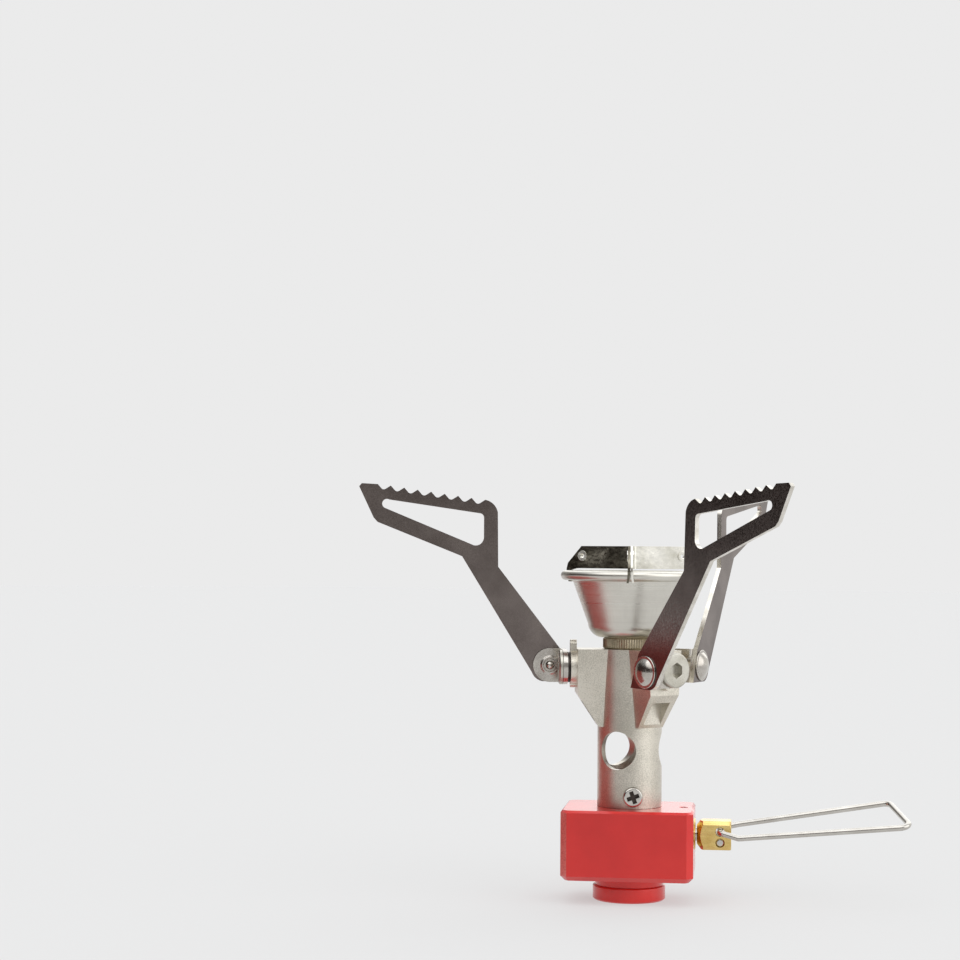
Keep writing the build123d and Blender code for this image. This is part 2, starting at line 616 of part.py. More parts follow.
# --- Swivelling pot supports ---
with BuildSketch() as arm_face:  # a support from its rivet: local x outwards, local y up
    with BuildLine():
        Polyline((42.6, 40.6), (38.7, 40.4), (37.0, 40.2), (15.6, 37.1))
        ThreePointArc((15.6, 37.1), (12.9, 36.1), (11.9, 34.2))
        Polyline((11.9, 34.2), (11.75, 22.0), (-2.4, 3.6), (-4.8, -3.7), (1.6, -3.7))
        ThreePointArc((1.6, -3.7), (3.0, -3.1), (4.0, -1.7))
        Polyline((4.0, -1.7), (19.9, 24.3), (39.0, 31.9), (39.9, 32.9), (43.2, 39.9), (42.6, 40.6))
    make_face()
    with BuildLine():
        Line((36.4, 36.95), (15.9, 34.0))
        ThreePointArc((15.9, 34.0), (15.25, 33.65), (15.0, 33.0))
        Line((15.0, 33.0), (15.0, 28.6))
        ThreePointArc((15.0, 28.6), (15.55, 27.3), (17.3, 26.8))
        Line((17.3, 26.8), (37.2, 35.0))
        ThreePointArc((37.2, 35.0), (37.95, 36.3), (36.4, 36.95))
    make_face(mode=Mode.SUBTRACT)
    Circle(RIVET_R + GAP, mode=Mode.SUBTRACT)
    # valleys along the top edge, round at the bottom, that leave a pointed tooth between them
    edge_start = Vector(37.6, 40.3)
    edge_run = Vector(-21.4, -3.1).normalized()
    for valley in range(SERRATIONS):
        valley_place = edge_start + edge_run * SERRATION_PITCH * valley
        with Locations(Location((valley_place.X, valley_place.Y, 0), (0, 0, EDGE_SLOPE))):
            with Locations((0, SERRATION_R - SERRATION_DEPTH)):
                Circle(SERRATION_R, mode=Mode.SUBTRACT)
            Polygon(*VALLEY_SIDES, align=None, mode=Mode.SUBTRACT)


# the rivet's domed head and rounded tail are parts of spheres centred on its axis
dome_base = ARM_OUTER + GAP + HEAD_RIM_H
dome_top = dome_base + DOME_RISE
dome_sphere_r = (DOME_R**2 + DOME_RISE**2) / (2 * DOME_RISE)
dome_angle = math.asin(DOME_R / dome_sphere_r)
dome_mid_drop = dome_sphere_r * (1 - math.cos(dome_angle / 2))
ball_centre = EAR_INNER - 0.1


def support_parts(name, azimuth):
    """Screw, washer, bracket, rivet and arm of one pot support."""
    outward = heading(azimuth)
    sideways = beside(azimuth)
    screw_axis = Axis((0, 0, SWIVEL_Z), tuple(outward))
    rivet_centre = outward * RIVET_RADIAL + Vector(0, 0, SWIVEL_Z)
    rivet_axis = Axis(tuple(rivet_centre), tuple(sideways))
    rivet_plane = Plane(origin=rivet_centre, x_dir=outward, z_dir=(0, 0, -1))

    with BuildPart() as swivel_screw:
        with BuildSketch(side_plane(azimuth, 0, SWIVEL_Z)):
            with BuildLine():
                Polyline(
                    (SCREW_END, 0),
                    (SCREW_END, SCREW_THREAD_R - 0.3),
                    (SCREW_END + 0.3, SCREW_THREAD_R),
                    (WING_END, SCREW_THREAD_R),
                    (WING_END, SWIVEL_SCREW_R),
                    (SCREW_HEAD_START, SWIVEL_SCREW_R),
                    (SCREW_HEAD_START, BOSS_R),
                    (SCREW_HEAD_END - 0.25, BOSS_R),
                    (SCREW_HEAD_END, BOSS_R - 0.3),
                    (SCREW_HEAD_END, 0),
                    close=True,
                )
            make_face()
        revolve(axis=screw_axis)
        with BuildSketch(end_plane(azimuth, SCREW_HEAD_END, SWIVEL_Z)):
            RegularPolygon(HEX_SOCKET / 2, 6, major_radius=False, rotation=30)
        extrude(amount=-HEX_DEPTH, mode=Mode.SUBTRACT)
    save(swivel_screw.part, f"swivel_screw_{name}")

    with BuildPart() as swivel_washer:
        with BuildSketch(end_plane(azimuth, WASHER_START, SWIVEL_Z)):
            Circle(WASHER_R)
            Circle(SWIVEL_SCREW_R + GAP, mode=Mode.SUBTRACT)
        extrude(amount=WASHER_END - WASHER_START)
    save(swivel_washer.part, f"swivel_washer_{name}")

    with BuildPart() as bracket:
        with BuildSketch(end_plane(azimuth, PLATE_START, SWIVEL_Z)):
            Circle(BOSS_R)
            with Locations((-EAR_OUTER / 2, 0)):
                Rectangle(EAR_OUTER, 2 * EAR_R)
        extrude(amount=PLATE_T)
        with BuildSketch(side_plane(azimuth, EAR_INNER, SWIVEL_Z)):
            with Locations(((PLATE_START + RIVET_RADIAL) / 2, 0)):
                Rectangle(RIVET_RADIAL - PLATE_START, 2 * EAR_R)
            with Locations((RIVET_RADIAL, 0)):
                Circle(EAR_R)
        extrude(amount=EAR_OUTER - EAR_INNER)
        bend_edges = bracket.edges().filter_by(Axis.Z)
        outer_bend = bend_edges.filter_by(
            lambda e: abs(e.center().dot(sideways) - EAR_OUTER) < 0.01
            and abs(e.center().dot(outward) - PLATE_START) < 0.01
        )
        fillet(outer_bend, 0.8)
        with BuildSketch(end_plane(azimuth, PLATE_START - 1, SWIVEL_Z)):
            Circle(SWIVEL_SCREW_R + GAP)
        extrude(amount=PLATE_T + 2, mode=Mode.SUBTRACT)
        with BuildSketch(end_plane(azimuth, PLATE_START - 1, SWIVEL_Z)):
            with Locations((-EAR_INNER + 0.6, 0)):
                Circle(0.8)
        extrude(amount=PLATE_T + 2, mode=Mode.SUBTRACT)
        with BuildSketch(side_plane(azimuth, EAR_INNER - 1, SWIVEL_Z)):
            with Locations((RIVET_RADIAL, 0)):
                Circle(RIVET_R)
        extrude(amount=EAR_OUTER - EAR_INNER + 2, mode=Mode.SUBTRACT)
    save(bracket.part, f"swivel_bracket_{name}")

    with BuildPart() as rivet:
        with BuildSketch(rivet_plane):
            with BuildLine():
                Line((0, ball_centre - TAIL_BALL_R), (0, dome_top))
                ThreePointArc(
                    (0, dome_top),
                    (dome_sphere_r * math.sin(dome_angle / 2), dome_top - dome_mid_drop),
                    (DOME_R, dome_base),
                )
                Polyline(
                    (DOME_R, dome_base),
                    (HEAD_RIM_R - 0.1, dome_base),
                    (HEAD_RIM_R, dome_base - 0.1),
                    (HEAD_RIM_R, ARM_OUTER + GAP),
                    (RIVET_R, ARM_OUTER + GAP),
                    (RIVET_R, EAR_INNER),
                    (TAIL_FLANGE_R, EAR_INNER),
                    (TAIL_FLANGE_R, EAR_INNER - 0.15),
                    (TAIL_FLANGE_R - 0.1, EAR_INNER - 0.25),
                    (TAIL_RIM_R + 0.05, EAR_INNER - 0.25),
                    (TAIL_RIM_R, EAR_INNER - 0.6),
                    (TAIL_RIM_R - 0.15, EAR_INNER - 0.75),
                    (TAIL_RECESS_R + 0.15, EAR_INNER - 0.75),
                    (TAIL_RECESS_R, EAR_INNER - 0.6),
                    (TAIL_RECESS_R, ball_centre),
                    (TAIL_BALL_R, ball_centre),
                )
                ThreePointArc(
                    (TAIL_BALL_R, ball_centre),
                    (TAIL_BALL_R * math.sqrt(0.5), ball_centre - TAIL_BALL_R * math.sqrt(0.5)),
                    (0, ball_centre - TAIL_BALL_R),
                )
            make_face()
        revolve(axis=rivet_axis)
    save(rivet.part, f"arm_rivet_{name}")

    with BuildPart() as pot_arm:
        with BuildSketch(side_plane(azimuth, ARM_INNER, SWIVEL_Z)):
            with Locations(Location((RIVET_RADIAL, 0, 0), (0, 0, ARM_TILT[name]))):
                add(arm_face.sketch)
        extrude(amount=ARM_T)
    save(pot_arm.part, f"pot_arm_{name}")


for name, azimuth in WING_AZIMUTHS.items():
    support_parts(name, azimuth)
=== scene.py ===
import bmesh
import bpy
import json
import math
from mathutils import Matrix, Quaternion, Vector


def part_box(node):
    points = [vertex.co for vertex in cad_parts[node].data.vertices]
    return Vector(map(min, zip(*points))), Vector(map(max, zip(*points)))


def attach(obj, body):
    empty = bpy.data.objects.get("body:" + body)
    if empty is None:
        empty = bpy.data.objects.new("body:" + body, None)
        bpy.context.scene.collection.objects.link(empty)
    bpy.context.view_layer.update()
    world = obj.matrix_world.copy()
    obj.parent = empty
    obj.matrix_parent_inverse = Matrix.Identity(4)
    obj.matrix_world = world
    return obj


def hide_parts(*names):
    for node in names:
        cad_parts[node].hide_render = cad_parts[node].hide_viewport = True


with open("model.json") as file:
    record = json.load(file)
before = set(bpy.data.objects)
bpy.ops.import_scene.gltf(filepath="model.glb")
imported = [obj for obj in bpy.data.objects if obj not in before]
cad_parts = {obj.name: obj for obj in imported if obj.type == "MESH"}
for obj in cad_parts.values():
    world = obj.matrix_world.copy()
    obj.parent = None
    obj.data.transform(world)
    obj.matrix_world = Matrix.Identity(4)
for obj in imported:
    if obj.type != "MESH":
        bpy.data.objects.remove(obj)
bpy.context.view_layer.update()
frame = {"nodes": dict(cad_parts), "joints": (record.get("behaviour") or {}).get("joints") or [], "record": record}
MM = 0.001

# ---------------------------------------------------------------- camera
STOVE_TO_CAMERA = 0.490  # horizontal distance from the stove's axis
CAMERA_HEIGHT = 0.0765
CAMERA_AZIMUTH = 3.0  # degrees from -Y towards +X
CAMERA_YAW = 3.92  # degrees turned left of the stove's axis
CAMERA_PITCH = 1.835  # degrees above level
CAMERA_ROLL = 0.4  # degrees anticlockwise
LENS_MM = 82.6
SENSOR_MM = 36.0
NEAR_CLIP, FAR_CLIP = 0.01, 50.0


def make_camera():
    """Level with the burner, close in, with the stove right of the middle of the frame."""
    data = bpy.data.cameras.new("camera")
    data.lens = LENS_MM
    data.sensor_width = SENSOR_MM
    data.clip_start = NEAR_CLIP
    data.clip_end = FAR_CLIP
    camera = bpy.data.objects.new("camera", data)
    bpy.context.scene.collection.objects.link(camera)
    around = math.radians(CAMERA_AZIMUTH)
    camera.location = (
        STOVE_TO_CAMERA * math.sin(around),
        -STOVE_TO_CAMERA * math.cos(around),
        CAMERA_HEIGHT,
    )
    heading = math.radians(90 + CAMERA_AZIMUTH + CAMERA_YAW)
    pitch = math.radians(CAMERA_PITCH)
    forward = Vector(
        (math.cos(heading) * math.cos(pitch), math.sin(heading) * math.cos(pitch), math.sin(pitch))
    )
    camera.rotation_mode = "QUATERNION"
    roll = Quaternion((0, 0, 1), math.radians(CAMERA_ROLL))
    camera.rotation_quaternion = forward.to_track_quat("-Z", "Y") @ roll
    bpy.context.scene.camera = camera


# ---------------------------------------------------------------- materials
COAT_ROUGHNESS = 0.12
CLOUD_DETAIL, FINE_DETAIL, GLOSS_DETAIL = 5.0, 2.0, 3.0
GLOSS_SCALE = 0.35  # of the grain's own
BLEND_BAND = 0.2  # how far a finish's first and last colours lie from the middle of its noise


def node(tree, kind, **settings):
    """A shader node with its properties and plain input values set."""
    made = tree.nodes.new(kind)
    for key, value in settings.items():
        if hasattr(made, key):
            setattr(made, key, value)
        else:
            made.inputs[key.replace("_", " ")].default_value = value
    return made


def object_coordinates(tree, stretch=(1, 1, 1), ringed=False):
    """Object coordinates in metres. Ringed ones run round the Z axis: distance from it, then height."""
    place = node(tree, "ShaderNodeTexCoord").outputs["Object"]
    if ringed:
        parts = node(tree, "ShaderNodeSeparateXYZ")
        tree.links.new(place, parts.inputs[0])
        flat = node(tree, "ShaderNodeCombineXYZ")
        tree.links.new(parts.outputs["X"], flat.inputs["X"])
        tree.links.new(parts.outputs["Y"], flat.inputs["Y"])
        radius = node(tree, "ShaderNodeVectorMath", operation="LENGTH")
        tree.links.new(flat.outputs[0], radius.inputs[0])
        rings = node(tree, "ShaderNodeCombineXYZ")
        tree.links.new(radius.outputs["Value"], rings.inputs["X"])
        tree.links.new(parts.outputs["Z"], rings.inputs["Z"])
        place = rings.outputs[0]
    scaled = node(tree, "ShaderNodeMapping")
    scaled.inputs["Scale"].default_value = stretch
    tree.links.new(place, scaled.inputs["Vector"])
    return scaled.outputs["Vector"]


def noise(tree, vector, scale, detail=4.0, roughness=0.55):
    """The value of a noise texture, in waves per metre."""
    made = node(tree, "ShaderNodeTexNoise", Scale=scale, Detail=detail, Roughness=roughness)
    tree.links.new(vector, made.inputs["Vector"])
    return made.outputs["Fac"]


def spread(tree, value, low, high, start=0.35, end=0.65):
    """A noise value stretched from its middle band to the range low to high."""
    made = node(tree, "ShaderNodeMapRange")
    for key, number in (("From Min", start), ("From Max", end), ("To Min", low), ("To Max", high)):
        made.inputs[key].default_value = number
    tree.links.new(value, made.inputs["Value"])
    return made.outputs["Result"]


def ramp(tree, value, stops):
    """Colours at positions, read by a value."""
    made = node(tree, "ShaderNodeValToRGB")
    elements = made.color_ramp.elements
    elements[0].position, elements[0].color = stops[0][0], (*stops[0][1], 1)
    elements[1].position, elements[1].color = stops[-1][0], (*stops[-1][1], 1)
    for position, colour in stops[1:-1]:
        elements.new(position).color = (*colour, 1)
    tree.links.new(value, made.inputs["Fac"])
    return made.outputs["Color"]


def bump(tree, heights, shader):
    """Chains (value, strength, depth in metres) bumps into the shader's normal."""
    normal = None
    for value, strength, depth in heights:
        made = node(tree, "ShaderNodeBump", Strength=strength, Distance=depth)
        tree.links.new(value, made.inputs["Height"])
        if normal is not None:
            tree.links.new(normal, made.inputs["Normal"])
        normal = made.outputs["Normal"]
    tree.links.new(normal, shader.inputs["Normal"])


def surface(
    name,
    colours,
    roughness,
    metallic=1.0,
    blotch=90.0,
    grain=9000.0,
    stretch=(1, 1, 1),
    grain_depth=0.00001,
    grain_strength=0.5,
    ringed=False,
    anisotropic=0.0,
    scuffs=0.3,
    wave=0.0,
    wave_scale=160.0,
    coat=0.0,
):
    """A metal or moulded finish: blotchy colour, streaked or speckled grain, and scuffs in its gloss."""
    material = bpy.data.materials.new(name)
    material.use_nodes = True
    tree = material.node_tree
    shader = tree.nodes["Principled BSDF"]
    shader.inputs["Metallic"].default_value = metallic
    shader.inputs["Anisotropic"].default_value = anisotropic
    shader.inputs["Coat Weight"].default_value = coat
    shader.inputs["Coat Roughness"].default_value = COAT_ROUGHNESS
    plain = object_coordinates(tree)
    grained = object_coordinates(tree, stretch, ringed)
    clouds = noise(tree, plain, blotch, CLOUD_DETAIL)
    fine = noise(tree, grained, grain, FINE_DETAIL)
    mixed = node(tree, "ShaderNodeMath", operation="ADD")
    half_fine = node(tree, "ShaderNodeMath", operation="MULTIPLY")
    half_fine.inputs[1].default_value = scuffs
    tree.links.new(fine, half_fine.inputs[0])
    tree.links.new(clouds, mixed.inputs[0])
    tree.links.new(half_fine.outputs[0], mixed.inputs[1])
    middle = 0.5 + 0.5 * scuffs
    steps = len(colours) - 1
    stops = [
        (middle + BLEND_BAND * (2 * i / steps - 1), colour) for i, colour in enumerate(colours)
    ]
    tree.links.new(ramp(tree, mixed.outputs[0], stops), shader.inputs["Base Color"])
    gloss = noise(tree, grained, grain * GLOSS_SCALE, GLOSS_DETAIL)
    tree.links.new(spread(tree, gloss, *roughness), shader.inputs["Roughness"])
    heights = [(fine, grain_strength, grain_depth)]
    if wave:
        heights.append((noise(tree, plain, wave_scale, FINE_DETAIL), 1.0, wave))
    bump(tree, heights, shader)
    return material


LENGTHWISE = (0.05, 1, 1)
UPRIGHT = (1, 1, 0.06)
FINISHES = {
    "red_anodised": surface(
        "red_anodised", [(0.58, 0.005, 0.003), (0.66, 0.009, 0.006), (0.72, 0.016, 0.010)], (0.34, 0.46),
        metallic=0.5, blotch=60, grain=14000, grain_depth=0.000006, scuffs=0.2, coat=0.85,
    ),
    # paler red: edge wear on the broken edges, and a painted reflection on the block's left front chamfer
    "red_wear_and_painted_sheen": surface(
        "red_wear_and_painted_sheen", [(0.56, 0.07, 0.06), (0.62, 0.12, 0.105), (0.68, 0.18, 0.16)], (0.24, 0.36),
        metallic=0.3, blotch=120, grain=9000, grain_depth=0.000004, scuffs=0.06, coat=0.85,
    ),
    "blasted_alloy": surface(
        "blasted_alloy", [(0.50, 0.47, 0.405), (0.60, 0.565, 0.49), (0.70, 0.66, 0.58)], (0.28, 0.42),
        blotch=70, grain=4600, grain_depth=0.00005, grain_strength=0.9, scuffs=0.9,
    ),
    "blasted_edge": surface(
        "blasted_edge", [(0.60, 0.57, 0.50), (0.82, 0.79, 0.72)], (0.24, 0.36), blotch=300, grain=5000,
    ),
    "neck_alloy": surface(
        "neck_alloy", [(0.34, 0.29, 0.20), (0.50, 0.43, 0.31)], (0.26, 0.4), blotch=500, grain=6000,
    ),
    "spun_steel": surface(
        "spun_steel", [(0.55, 0.53, 0.48), (0.63, 0.61, 0.555), (0.71, 0.69, 0.63)], (0.26, 0.36),
        blotch=70, grain=5200, ringed=True, grain_depth=0.00001, grain_strength=0.5, anisotropic=0.5,
    ),
    # a darker, glossier copy of leaf_steel: painted shade for one leaf
    "painted_shade_leaf_steel": surface(
        "painted_shade_leaf_steel", [(0.08, 0.07, 0.052), (0.17, 0.155, 0.12), (0.46, 0.43, 0.35)], (0.12, 0.22),
        blotch=260, grain=9000, grain_depth=0.000004, grain_strength=0.2, wave=0.00008,
        wave_scale=300.0, scuffs=0.1,
    ),
    "leaf_steel": surface(
        "leaf_steel", [(0.58, 0.56, 0.48), (0.78, 0.76, 0.69), (0.90, 0.88, 0.82)], (0.16, 0.26),
        blotch=200, grain=9000, grain_depth=0.000004, grain_strength=0.2, wave=0.00008,
        wave_scale=300.0, scuffs=0.1,
    ),
    "arm_steel": surface(
        "arm_steel", [(0.155, 0.13, 0.12), (0.20, 0.17, 0.158), (0.245, 0.21, 0.195)], (0.13, 0.22),
        blotch=110, grain=7000, grain_depth=0.000005, grain_strength=0.2, scuffs=0.2,
    ),
    "cut_steel": surface(
        "cut_steel", [(0.56, 0.53, 0.47), (0.82, 0.79, 0.74)], (0.22, 0.36),
        blotch=400, grain=5000, stretch=UPRIGHT, grain_depth=0.000004, grain_strength=0.3,
    ),
    "bracket_steel": surface(
        "bracket_steel", [(0.40, 0.37, 0.33), (0.52, 0.49, 0.45), (0.62, 0.60, 0.55)], (0.14, 0.28),
        blotch=260, grain=6000, grain_depth=0.00001,
    ),
    "screw_steel": surface(
        "screw_steel", [(0.44, 0.42, 0.36), (0.64, 0.62, 0.56)], (0.26, 0.38), blotch=200, grain=8000,
    ),
    # painted shade for the tube screw's cross recess and its broken edges
    "dark_steel": surface(
        "dark_steel", [(0.035, 0.03, 0.028), (0.10, 0.086, 0.076)], (0.35, 0.5), blotch=300, grain=7000,
    ),
    "bright_steel": surface(
        "bright_steel", [(0.48, 0.455, 0.42), (0.62, 0.60, 0.56)], (0.08, 0.2),
        blotch=200, grain=6000, stretch=LENGTHWISE, grain_depth=0.000004,
    ),
    "brass": surface(
        "brass", [(0.60, 0.40, 0.12), (0.74, 0.54, 0.20), (0.82, 0.64, 0.28)], (0.16, 0.3),
        blotch=180, grain=9000, stretch=LENGTHWISE, grain_depth=0.000012, grain_strength=0.6,
    ),
    "sintered_bronze": surface(
        "sintered_bronze", [(0.22, 0.13, 0.06), (0.50, 0.33, 0.17)], (0.5, 0.7),
        blotch=3000, grain=5000, grain_depth=0.00006, grain_strength=1.0,
    ),
    "seal_rubber": surface(
        "seal_rubber", [(0.014, 0.014, 0.015), (0.03, 0.03, 0.032)], (0.5, 0.68),
        metallic=0.0, blotch=400, grain=9000, grain_depth=0.00002,
    ),
}
EDGES = {"red_anodised": "red_wear_and_painted_sheen", "blasted_alloy": "blasted_edge"}


# ---------------------------------------------------------------- pieces
bodies_of_nodes = {
    name: body for body, names in frame["record"]["behaviour"]["bodies"].items() for name in names
}
slots_of_nodes = {part["node"]: part["material_slot"] for part in frame["record"]["subparts"]}
WELD = 0.000002
FLAT = math.radians(0.6)
SHARP = math.radians(32)
SQUARE_TO = 0.5  # largest cosine between a side face's normal and the sheet's own
BEVEL_STEPS = 2


def finished_mesh(source, name, materials):
    """A welded copy of a CAD mesh, its flat faces joined, ready to bevel and smooth."""
    mesh = source.data.copy()
    mesh.name = name
    if "custom_normal" in mesh.attributes:
        mesh.attributes.remove(mesh.attributes["custom_normal"])
    mesh.materials.clear()
    for material in materials:
        mesh.materials.append(material)
    work = bmesh.new()
    work.from_mesh(mesh)
    bmesh.ops.remove_doubles(work, verts=work.verts, dist=WELD)
    bmesh.ops.dissolve_limit(work, angle_limit=FLAT, verts=work.verts, edges=work.edges)
    for face in work.faces:
        face.smooth = True
        face.material_index = 0
    work.to_mesh(mesh)
    work.free()
    mesh.set_sharp_from_angle(angle=SHARP)
    return mesh


def dressed(name, width_mm, side_material=None, side_normal=None):
    """A CAD node's shape with its edges broken.

    side_material goes on the broken edges, and on the faces square to side_normal where it is given.
    """
    slot = slots_of_nodes[name]
    face_material = FINISHES[slot]
    second = FINISHES[EDGES.get(slot, slot)] if side_material is None else side_material
    mesh = finished_mesh(frame["nodes"][name], name + "_finished", [face_material, second])
    if side_normal is not None:
        for face in mesh.polygons:
            if abs(face.normal.dot(side_normal)) < SQUARE_TO:
                face.material_index = 1
    piece = bpy.data.objects.new(name + "_finished", mesh)
    bpy.context.scene.collection.objects.link(piece)
    bevel = piece.modifiers.new("broken_edges", "BEVEL")
    bevel.width = width_mm * MM
    bevel.segments = BEVEL_STEPS
    bevel.limit_method = "ANGLE"
    bevel.angle_limit = SHARP
    bevel.harden_normals = True
    bevel.material = 1
    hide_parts(name)
    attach(piece, bodies_of_nodes[name])
    return piece


EDGE_WIDTHS = {  # mm
    "mixing_tube": 0.16, "valve_head": 0.14, "stem_gland": 0.1, "gas_jet": 0.1, "lock_pin": 0.08,
    "handle_pin": 0.08, "opening_pin": 0.08, "flame_plate": 0.08, "burner_cup": 0.06,
    "leaf_eyelets": 0.04, "canister_seal": 0.04, "gas_filter": 0.04, "valve_needle": 0.04,
    "stem_oring": 0.04, "handle_wire": 0.04,
}
BLOCK_EDGE, SCREW_EDGE, LEAF_EDGE = 0.26, 0.07, 0.07
SUPPORT_EDGES = {
    "swivel_bracket": 0.13, "swivel_screw": 0.1, "swivel_washer": 0.08, "arm_rivet": 0.05,
}
ARM_EDGE = 0.13
CHAMFER_LEAN = 0.6  # least lean of the block's left front chamfer to the left and to the front
COLLAR_TOP = 5.3 * MM
SCREW_AZIMUTH = math.radians(9)
CROSS_REACH = 1.45 * MM
CROSS_DEPTHS = (0.05 * MM, 1.2 * MM)
# the leaf that takes the painted shade
PAINTED_SHADE_LEAF = 3
HOOK_START_Z = 72.2 * MM
HOOK_INNER_R = 14.6 * MM
HOOK_DROP = 2.5 * MM
HOOK_SPLAY = 0.32 * MM
HOOK_CURL = 0.35 * MM


def dress_block():
    """The valve block, its left front chamfer painted paler than the rest as a painted reflection of the bright
    surround.
    """
    block = dressed("valve_block", BLOCK_EDGE)
    for face in block.data.polygons:
        # faces of the left front chamfer above the collar get the paler red as a painted reflection
        leans = max(face.normal.x, face.normal.y) < -CHAMFER_LEAN
        if leans and face.center.z > COLLAR_TOP:
            face.material_index = 1


def dress_tube_screw():
    """The tube's screw, painted dark inside its cross as shade in the recess."""
    outward = Vector((math.sin(SCREW_AZIMUTH), -math.cos(SCREW_AZIMUTH), 0))
    screw = dressed("tube_screw", SCREW_EDGE, side_material=FINISHES["dark_steel"])
    screw_height = sum(corner[2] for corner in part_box("tube_screw")) / 2
    head_face = max(vertex.co.dot(outward) for vertex in screw.data.vertices)
    # faces down inside the cross get the painted shade
    for face in screw.data.polygons:
        depth = head_face - face.center.dot(outward)
        off_axis = face.center - Vector((0, 0, screw_height)) - outward * face.center.dot(outward)
        if off_axis.length < CROSS_REACH and CROSS_DEPTHS[0] < depth < CROSS_DEPTHS[1]:
            face.material_index = 1


def dress_leaf(number):
    """A wind-screen leaf, the ends of its two hooks splayed apart and curled in under the rim."""
    leaf = dressed(f"wind_leaf_{number}", LEAF_EDGE, side_material=FINISHES["cut_steel"])
    # this leaf's faces take the painted shade in place of leaf_steel
    if number == PAINTED_SHADE_LEAF:
        leaf.data.materials[0] = FINISHES["painted_shade_leaf_steel"]
    centre = sum((v.co for v in leaf.data.vertices), Vector()) / len(leaf.data.vertices)
    for vertex in leaf.data.vertices:
        place = vertex.co
        reach = math.hypot(place.x, place.y)
        if place.z >= HOOK_START_Z or reach <= HOOK_INNER_R:
            continue
        outward = Vector((place.x, place.y, 0)) / reach
        across = Vector((-outward.y, outward.x, 0))
        if across.dot(centre - outward * centre.dot(outward)) < 0:
            across = -across
        drop = (HOOK_START_Z - place.z) / HOOK_DROP
        place += across * HOOK_SPLAY * drop * drop - outward * HOOK_CURL * drop * drop


def dress_support(side):
    """A pot support, its arm paler where the sheet was cut, and the swivel that carries it."""
    fold = next(joint for joint in frame["joints"] if joint["name"] == f"arm_{side}_fold")
    dressed(f"pot_arm_{side}", ARM_EDGE, FINISHES["cut_steel"], Vector(fold["axis"]))
    for part, width in SUPPORT_EDGES.items():
        dressed(f"{part}_{side}", width)


def add_piece(name, verts, faces, material_name, body, angle=SHARP):
    """A new mesh piece, in metres, with outward faces."""
    mesh = bpy.data.meshes.new(name)
    mesh.from_pydata(verts, [], faces)
    work = bmesh.new()
    work.from_mesh(mesh)
    bmesh.ops.recalc_face_normals(work, faces=work.faces)
    for face in work.faces:
        face.smooth = True
    work.to_mesh(mesh)
    work.free()
    mesh.set_sharp_from_angle(angle=angle)
    mesh.materials.append(FINISHES[material_name])
    piece = bpy.data.objects.new(name, mesh)
    bpy.context.scene.collection.objects.link(piece)
    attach(piece, body)
    return piece


# The neck's radii and heights, in mm
NECK_BORE_R, NECK_FOOT_R, NECK_TOP_R = 4.0, 5.55, 4.9
COLLAR_R, COLLAR_LIP_R, COLLAR_ROOT_R = 6.0, 5.95, 5.75
COLLAR_ABOVE_FOOT, COLLAR_BELOW_TOP = 5.05, 1.6
LIP_HEIGHT, KNURL_INSET = 0.25, 0.3
KNURLS = 66
KNURL_DEPTH = 0.17
STEPS_PER_KNURL = 4
KNURL_SHARP = math.radians(25)


def make_neck():
    """The neck turned from a profile, with straight knurling round its collar."""
    low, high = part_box("burner_neck")
    bottom, top = low[2] / MM, high[2] / MM
    collar_bottom, collar_top = bottom + COLLAR_ABOVE_FOOT, top - COLLAR_BELOW_TOP
    profile = [  # radius, height, how deep the knurls cut
        (NECK_BORE_R, bottom, 0),
        (NECK_FOOT_R, bottom, 0),
        (NECK_FOOT_R, collar_bottom, 0),
        (COLLAR_ROOT_R, collar_bottom, 0),
        (COLLAR_LIP_R, collar_bottom + LIP_HEIGHT, 0),
        (COLLAR_R, collar_bottom + KNURL_INSET, 1),
        (COLLAR_R, collar_top - KNURL_INSET, 1),
        (COLLAR_LIP_R, collar_top - LIP_HEIGHT, 0),
        (COLLAR_ROOT_R, collar_top, 0),
        (NECK_TOP_R, collar_top, 0),
        (NECK_TOP_R, top, 0),
        (NECK_BORE_R, top, 0),
    ]
    steps = KNURLS * STEPS_PER_KNURL
    verts = []
    for step in range(steps):
        turn = 2 * math.pi * step / steps
        valley = 1 - abs(2 * (step % STEPS_PER_KNURL) / STEPS_PER_KNURL - 1)
        for radius, height, knurled in profile:
            reach = (radius - KNURL_DEPTH * valley * knurled) * MM
            verts.append((reach * math.cos(turn), reach * math.sin(turn), height * MM))
    count = len(profile)
    faces = []
    for step in range(steps):
        after = (step + 1) % steps
        for i in range(count):
            j = (i + 1) % count
            faces.append(
                (step * count + i, after * count + i, after * count + j, step * count + j)
            )
    body = bodies_of_nodes["burner_neck"]
    neck = add_piece("knurled_neck", verts, faces, "neck_alloy", body, KNURL_SHARP)
    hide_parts("burner_neck")


# The canister thread, in mm: 28 turns to the inch
THREAD_PITCH = 25.4 / 28
THREAD_WALL_R = 5.07
THREAD_CREST_R = 4.84
THREAD_OVERLAP = 0.05  # how far the ridge's foot lies inside the wall
THREAD_START, THREAD_LENGTH = 0.55, 4.2
THREAD_STEPS = 56
FOOT_HALF_WIDTH = 0.36 * THREAD_PITCH
CREST_SHARE = 0.2  # the crest's width as a share of the foot's
FADE_SHARE = 1 / 8  # of the length, at each end
FADE_REST = 0.02  # what is left of the ridge at its very ends


